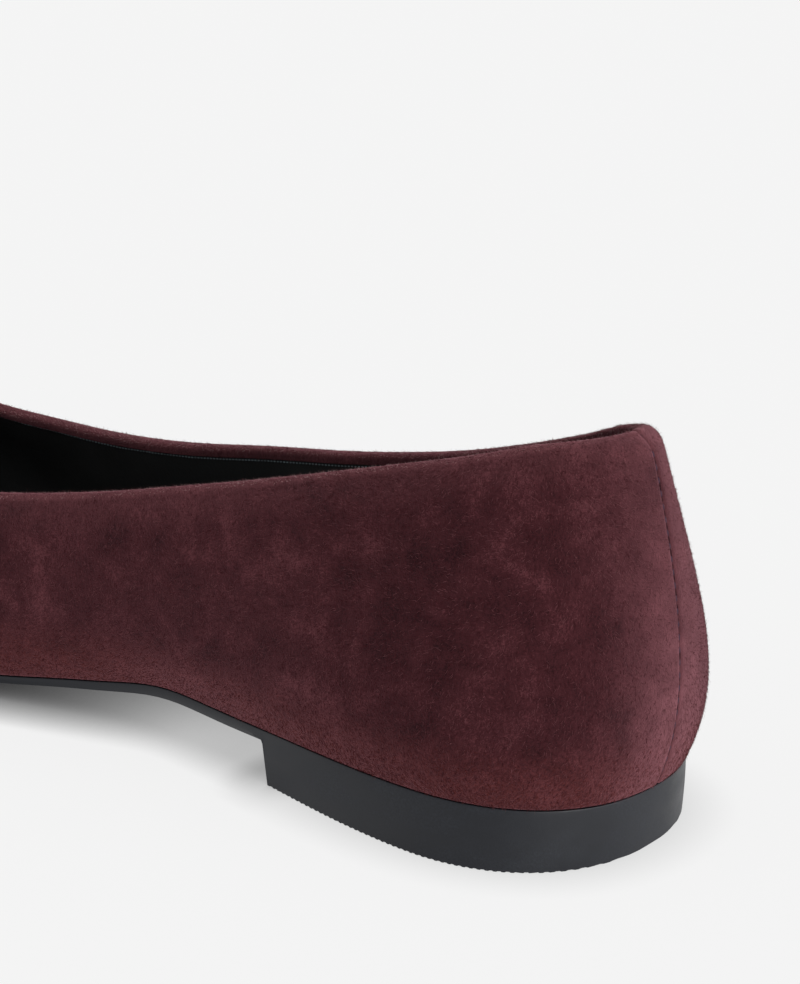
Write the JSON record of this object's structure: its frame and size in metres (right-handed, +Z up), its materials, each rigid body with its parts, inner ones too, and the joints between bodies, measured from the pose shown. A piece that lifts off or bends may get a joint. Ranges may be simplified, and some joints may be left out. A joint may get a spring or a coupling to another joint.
{
  "type": "pointed toe flat shoe",
  "caption": "Right-foot pointed flat in burgundy suede, cut low at the sides, on a thin black moulded sole with a low square-breasted heel.",
  "frame": {"origin": "centre of the shoe's outline on the floor, with z = 0 at the flat spots under the heel and the ball", "axes": "+X from the toe to the back of the heel, +Y from the medial side of the foot to the lateral side, +Z up"},
  "size_m": [0.261, 0.0754, 0.0624],
  "materials": {
    "suede": "burgundy suede with a short mottled nap, matte",
    "sole_rubber": "black moulded rubber, satin",
    "sock_lining": "smooth black lining leather, low sheen"
  },
  "bodies": {
    "root": {"upper": "suede", "outsole": "sole_rubber", "insole": "sock_lining"}
  },
  "joints": []
}
